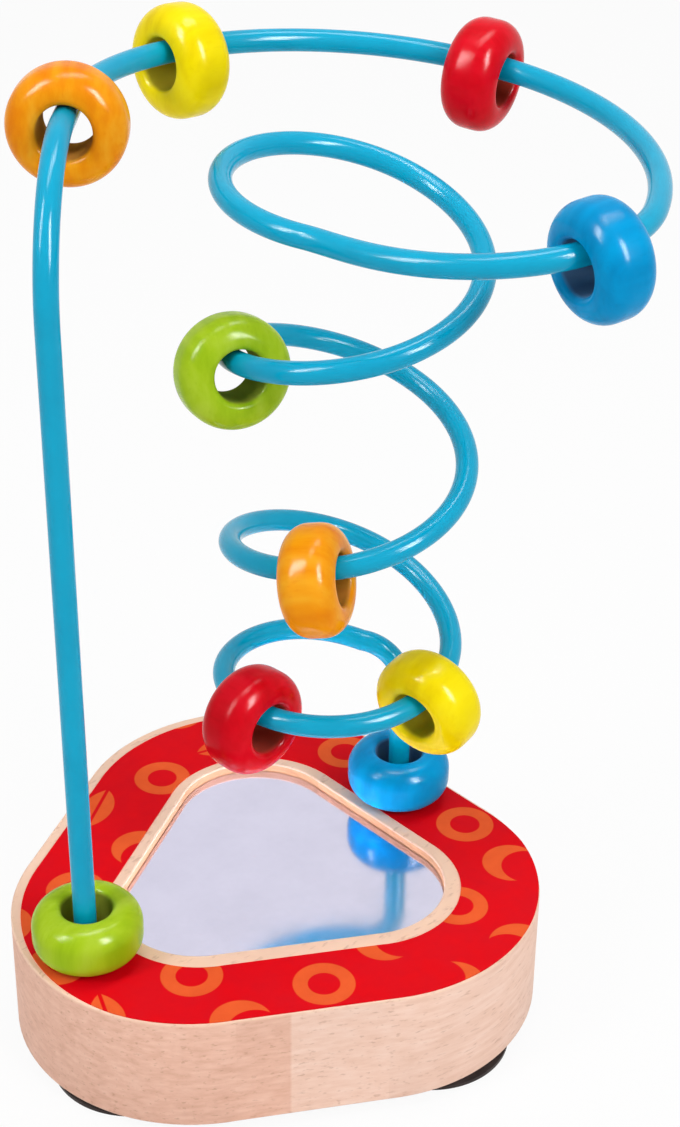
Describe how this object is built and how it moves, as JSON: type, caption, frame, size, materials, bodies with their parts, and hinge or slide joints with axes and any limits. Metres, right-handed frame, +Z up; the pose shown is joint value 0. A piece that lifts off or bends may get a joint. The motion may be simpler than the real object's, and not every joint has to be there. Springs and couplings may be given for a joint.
{
  "type": "bead maze",
  "caption": "Bead maze: a bent wire with a leg, a top loop and a coil carries sliding round wooden beads over a rounded triangular wooden base with a sunk mirror and suction cups.",
  "frame": {"origin": "centre of the base on the surface that the suction cups stand on", "axes": "+Z up; -X towards the corner that the wire's leg stands in; +X towards the flat side where the coil ends"},
  "size_m": [0.1576, 0.1423, 0.2286],
  "materials": {
    "beech": "fine sanded, bare",
    "red_print": "printed lacquer film",
    "adhesive_pad": "foam adhesive",
    "acrylic_mirror": "polished",
    "coated_wire": "glossy coating",
    "cup_rubber": "smooth",
    "screw_steel": "zinc plated",
    "lacquer_green": "gloss lacquer",
    "lacquer_orange": "gloss lacquer",
    "lacquer_yellow": "gloss lacquer",
    "lacquer_red": "gloss lacquer",
    "lacquer_blue": "gloss lacquer"
  },
  "bodies": {
    "stand": {"base_block": "beech", "top_print": "red_print", "mirror_pad": "adhesive_pad", "mirror_sheet": "acrylic_mirror", "wire": "coated_wire", "cup_leg": "cup_rubber", "cup_left": "cup_rubber", "cup_right": "cup_rubber", "cup_screw_leg": "screw_steel", "cup_screw_left": "screw_steel", "cup_screw_right": "screw_steel"},
    "bead_green_leg": {"bead_green_leg": "lacquer_green"},
    "bead_orange_bend": {"bead_orange_bend": "lacquer_orange"},
    "bead_yellow_top": {"bead_yellow_top": "lacquer_yellow"},
    "bead_red_top": {"bead_red_top": "lacquer_red"},
    "bead_blue_top": {"bead_blue_top": "lacquer_blue"},
    "bead_green_coil": {"bead_green_coil": "lacquer_green"},
    "bead_orange_coil": {"bead_orange_coil": "lacquer_orange"},
    "bead_yellow_low": {"bead_yellow_low": "lacquer_yellow"},
    "bead_red_low": {"bead_red_low": "lacquer_red"},
    "bead_blue_foot": {"bead_blue_foot": "lacquer_blue"}
  },
  "joints": [
    {"name": "green_leg_travel", "type": "slide", "parent": "stand", "child": "bead_green_leg", "axis": [0, 0, 1], "range_m": [0, 0.09]},
    {"name": "orange_bend_travel", "type": "hinge", "parent": "stand", "child": "bead_orange_bend", "pos_m": [0.07134, -0.06457, 0.16146], "axis": [-0.2627, 0.2809, -0.9231], "range_deg": [-5.7, 6.9]},
    {"name": "yellow_top_travel", "type": "hinge", "parent": "stand", "child": "bead_yellow_top", "pos_m": [0.02152, -0.00679, 0.21403], "axis": [-0.0495, 0.0523, -0.9974], "range_deg": [-16.8, 25.3]},
    {"name": "red_top_travel", "type": "hinge", "parent": "stand", "child": "bead_red_top", "pos_m": [0.02118, -0.00682, 0.21036], "axis": [-0.0088, 0.0929, -0.9956], "range_deg": [-25.1, 41.9]},
    {"name": "blue_top_travel", "type": "hinge", "parent": "stand", "child": "bead_blue_top", "pos_m": [0.03865, -0.02918, 0.20196], "axis": [0.1047, -0.0264, -0.9941], "range_deg": [-61.8, 72.1]},
    {"name": "green_coil_travel", "type": "hinge", "parent": "stand", "child": "bead_green_coil", "pos_m": [0.0241, -0.0012, 0.15972], "axis": [-0.2033, -0.0998, -0.974], "range_deg": [-12.1, 60.7]},
    {"name": "orange_coil_travel", "type": "hinge", "parent": "stand", "child": "bead_orange_coil", "pos_m": [0.02319, 0.00046, 0.12606], "axis": [0.2319, -0.0604, -0.9709], "range_deg": [-60.3, 12]},
    {"name": "yellow_low_travel", "type": "hinge", "parent": "stand", "child": "bead_yellow_low", "pos_m": [0.01952, -0.00092, 0.09119], "axis": [0.1173, 0.2747, -0.9544], "range_deg": [-61.7, 18.5]},
    {"name": "red_low_travel", "type": "hinge", "parent": "stand", "child": "bead_red_low", "pos_m": [0.01548, -0.00143, 0.0806], "axis": [-0.0658, 0.0197, -0.9976], "range_deg": [-14.8, 111.7]},
    {"name": "blue_foot_travel", "type": "slide", "parent": "stand", "child": "bead_blue_foot", "axis": [0, 0, 1], "range_m": [0, 0.016]}
  ]
}
